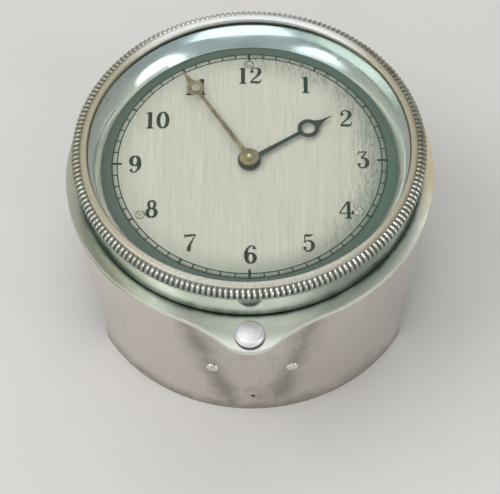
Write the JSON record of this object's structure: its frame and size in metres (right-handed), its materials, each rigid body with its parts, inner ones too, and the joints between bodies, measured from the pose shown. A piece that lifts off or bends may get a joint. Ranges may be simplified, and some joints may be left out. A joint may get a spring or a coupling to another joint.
{
  "type": "car dashboard clock",
  "caption": "Round rim-wind dashboard clock: nickel drum with a spouted flange, knurled winding bezel, silvered dial, two hands and a setting button.",
  "frame": {"origin": "on the drum's axis at the plane of its rear edge, at the free end of the clamp stud", "axes": "+Z along the drum's axis out of the dial, +Y towards twelve o'clock"},
  "size_m": [0.0864, 0.0926, 0.0506],
  "materials": {
    "nickel": "nickel plate on brass, polished, dulled and scratched",
    "brass": "fine-ground brass",
    "steel": "polished steel",
    "blued_steel": "dark blued steel",
    "gilt": "tarnished gilt",
    "silvered_dial": "silvered brass with a fine vertical brushing",
    "clear_glass": "flat clear glass"
  },
  "bodies": {
    "case": {"case_drum": "nickel", "flange_plate": "nickel", "back_cover": "nickel", "clamp_stud": "steel", "cover_screws": "steel", "case_rivets": "nickel", "lever_bracket": "brass", "lever_pin": "steel", "lever_spring": "steel", "movement_lugs": "brass", "movement_screws": "steel", "front_plate": "brass", "back_plate": "brass", "pillars": "brass", "pillar_screws": "steel", "snap_ring": "steel", "dial": "silvered_dial", "dial_posts": "brass", "dial_screws": "nickel", "wheel_studs": "steel", "click_spring": "steel", "lever_stud": "steel", "balance_cock": "brass", "cock_screw": "steel", "hairspring_stud": "steel", "hairspring": "blued_steel"},
    "bezel": {"bezel_rim": "nickel", "glass": "clear_glass", "reflector_ring": "nickel", "bezel_gear": "brass"},
    "winding_pinion": {"winding_pinion": "steel"},
    "barrel_arbor": {"barrel_arbor": "steel", "ratchet_wheel": "steel"},
    "click": {"click": "steel"},
    "barrel": {"great_wheel": "brass", "barrel_case": "brass", "barrel_cap": "brass", "mainspring": "steel"},
    "centre": {"centre_arbor": "steel", "centre_wheel": "brass", "cannon_pinion": "steel", "minute_hand": "gilt", "hand_nut": "gilt"},
    "minute_wheel": {"minute_wheel": "brass"},
    "hour": {"hour_wheel": "brass", "hour_hand": "blued_steel"},
    "third": {"third_arbor": "steel", "third_wheel": "brass"},
    "fourth": {"fourth_arbor": "steel", "fourth_wheel": "brass"},
    "escape": {"escape_arbor": "steel", "escape_wheel": "brass"},
    "pallet_lever": {"pallet_lever": "steel"},
    "balance": {"balance_staff": "steel", "balance_wheel": "brass"},
    "regulator": {"regulator": "steel"},
    "button": {"setting_button": "nickel"},
    "setting_lever": {"setting_lever": "steel"}
  },
  "joints": [
    {"name": "bezel_wind", "type": "hinge", "parent": "case", "child": "bezel", "pos_m": [0, 0, 0.0456], "axis": [0, 0, 1], "continuous": true},
    {"name": "winding_pinion_spin", "type": "hinge", "parent": "case", "child": "winding_pinion", "pos_m": [-0.02728, 0.01575, 0.042], "axis": [0, 0, 1], "continuous": true},
    {"name": "barrel_arbor_spin", "type": "hinge", "parent": "case", "child": "barrel_arbor", "pos_m": [-0.01494, 0.00863, 0.03], "axis": [0, 0, 1], "continuous": true},
    {"name": "click_lift", "type": "hinge", "parent": "case", "child": "click", "pos_m": [-0.01936, -0.00351, 0.042], "axis": [0, 0, 1], "range_deg": [0, 15]},
    {"name": "centre_spin", "type": "hinge", "parent": "case", "child": "centre", "pos_m": [0, 0, 0.03], "axis": [0, 0, 1], "continuous": true},
    {"name": "barrel_spin", "type": "hinge", "parent": "case", "child": "barrel", "pos_m": [-0.01494, 0.00863, 0.03], "axis": [0, 0, 1], "continuous": true},
    {"name": "minute_wheel_spin", "type": "hinge", "parent": "case", "child": "minute_wheel", "pos_m": [0.00624, -0.0036, 0.041], "axis": [0, 0, 1], "continuous": true},
    {"name": "hour_spin", "type": "hinge", "parent": "case", "child": "hour", "pos_m": [0, 0, 0.042], "axis": [0, 0, 1], "continuous": true},
    {"name": "third_spin", "type": "hinge", "parent": "case", "child": "third", "pos_m": [0.00675, -0.01169, 0.03], "axis": [0, 0, 1], "continuous": true},
    {"name": "fourth_spin", "type": "hinge", "parent": "case", "child": "fourth", "pos_m": [0.01793, -0.00762, 0.03], "axis": [0, 0, 1], "continuous": true},
    {"name": "escape_spin", "type": "hinge", "parent": "case", "child": "escape", "pos_m": [0.01984, 0.00321, 0.03], "axis": [0, 0, 1], "continuous": true},
    {"name": "balance_swing", "type": "hinge", "parent": "case", "child": "balance", "pos_m": [0.01779, 0.01483, 0.027], "axis": [0, 0, 1], "range_deg": [-30, 30], "deforming": ["hairspring"]},
    {"name": "pallet_swing", "type": "hinge", "parent": "case", "child": "pallet_lever", "pos_m": [0.0187, 0.00971, 0.024], "axis": [0, 0, 1], "range_deg": [-9.5, 9.5]},
    {"name": "regulator_turn", "type": "hinge", "parent": "case", "child": "regulator", "pos_m": [0.01779, 0.01483, 0.031], "axis": [0, 0, 1], "range_deg": [-20, 20]},
    {"name": "button_press", "type": "slide", "parent": "case", "child": "button", "axis": [0, 0, -1], "range_m": [0, 0.002], "stiffness_N_per_m": 300},
    {"name": "lever_rock", "type": "hinge", "parent": "case", "child": "setting_lever", "pos_m": [0, -0.0375, 0.03455], "axis": [1, 0, 0], "range_deg": [0, 17], "deforming": ["lever_spring"]}
  ],
  "couplings": [
    {"joint": "winding_pinion_spin", "follows": "bezel_wind", "ratio": 8},
    {"joint": "barrel_arbor_spin", "follows": "bezel_wind", "ratio": -3.6923},
    {"joint": "barrel_spin", "follows": "centre_spin", "ratio": -0.12195},
    {"joint": "minute_wheel_spin", "follows": "centre_spin", "ratio": -0.33333},
    {"joint": "hour_spin", "follows": "centre_spin", "ratio": 0.083333},
    {"joint": "third_spin", "follows": "centre_spin", "ratio": -8},
    {"joint": "fourth_spin", "follows": "centre_spin", "ratio": 60},
    {"joint": "escape_spin", "follows": "centre_spin", "ratio": -600},
    {"joint": "pallet_swing", "follows": "balance_swing", "ratio": -0.3},
    {"joint": "lever_rock", "follows": "button_press", "rad_per_m": 145}
  ]
}
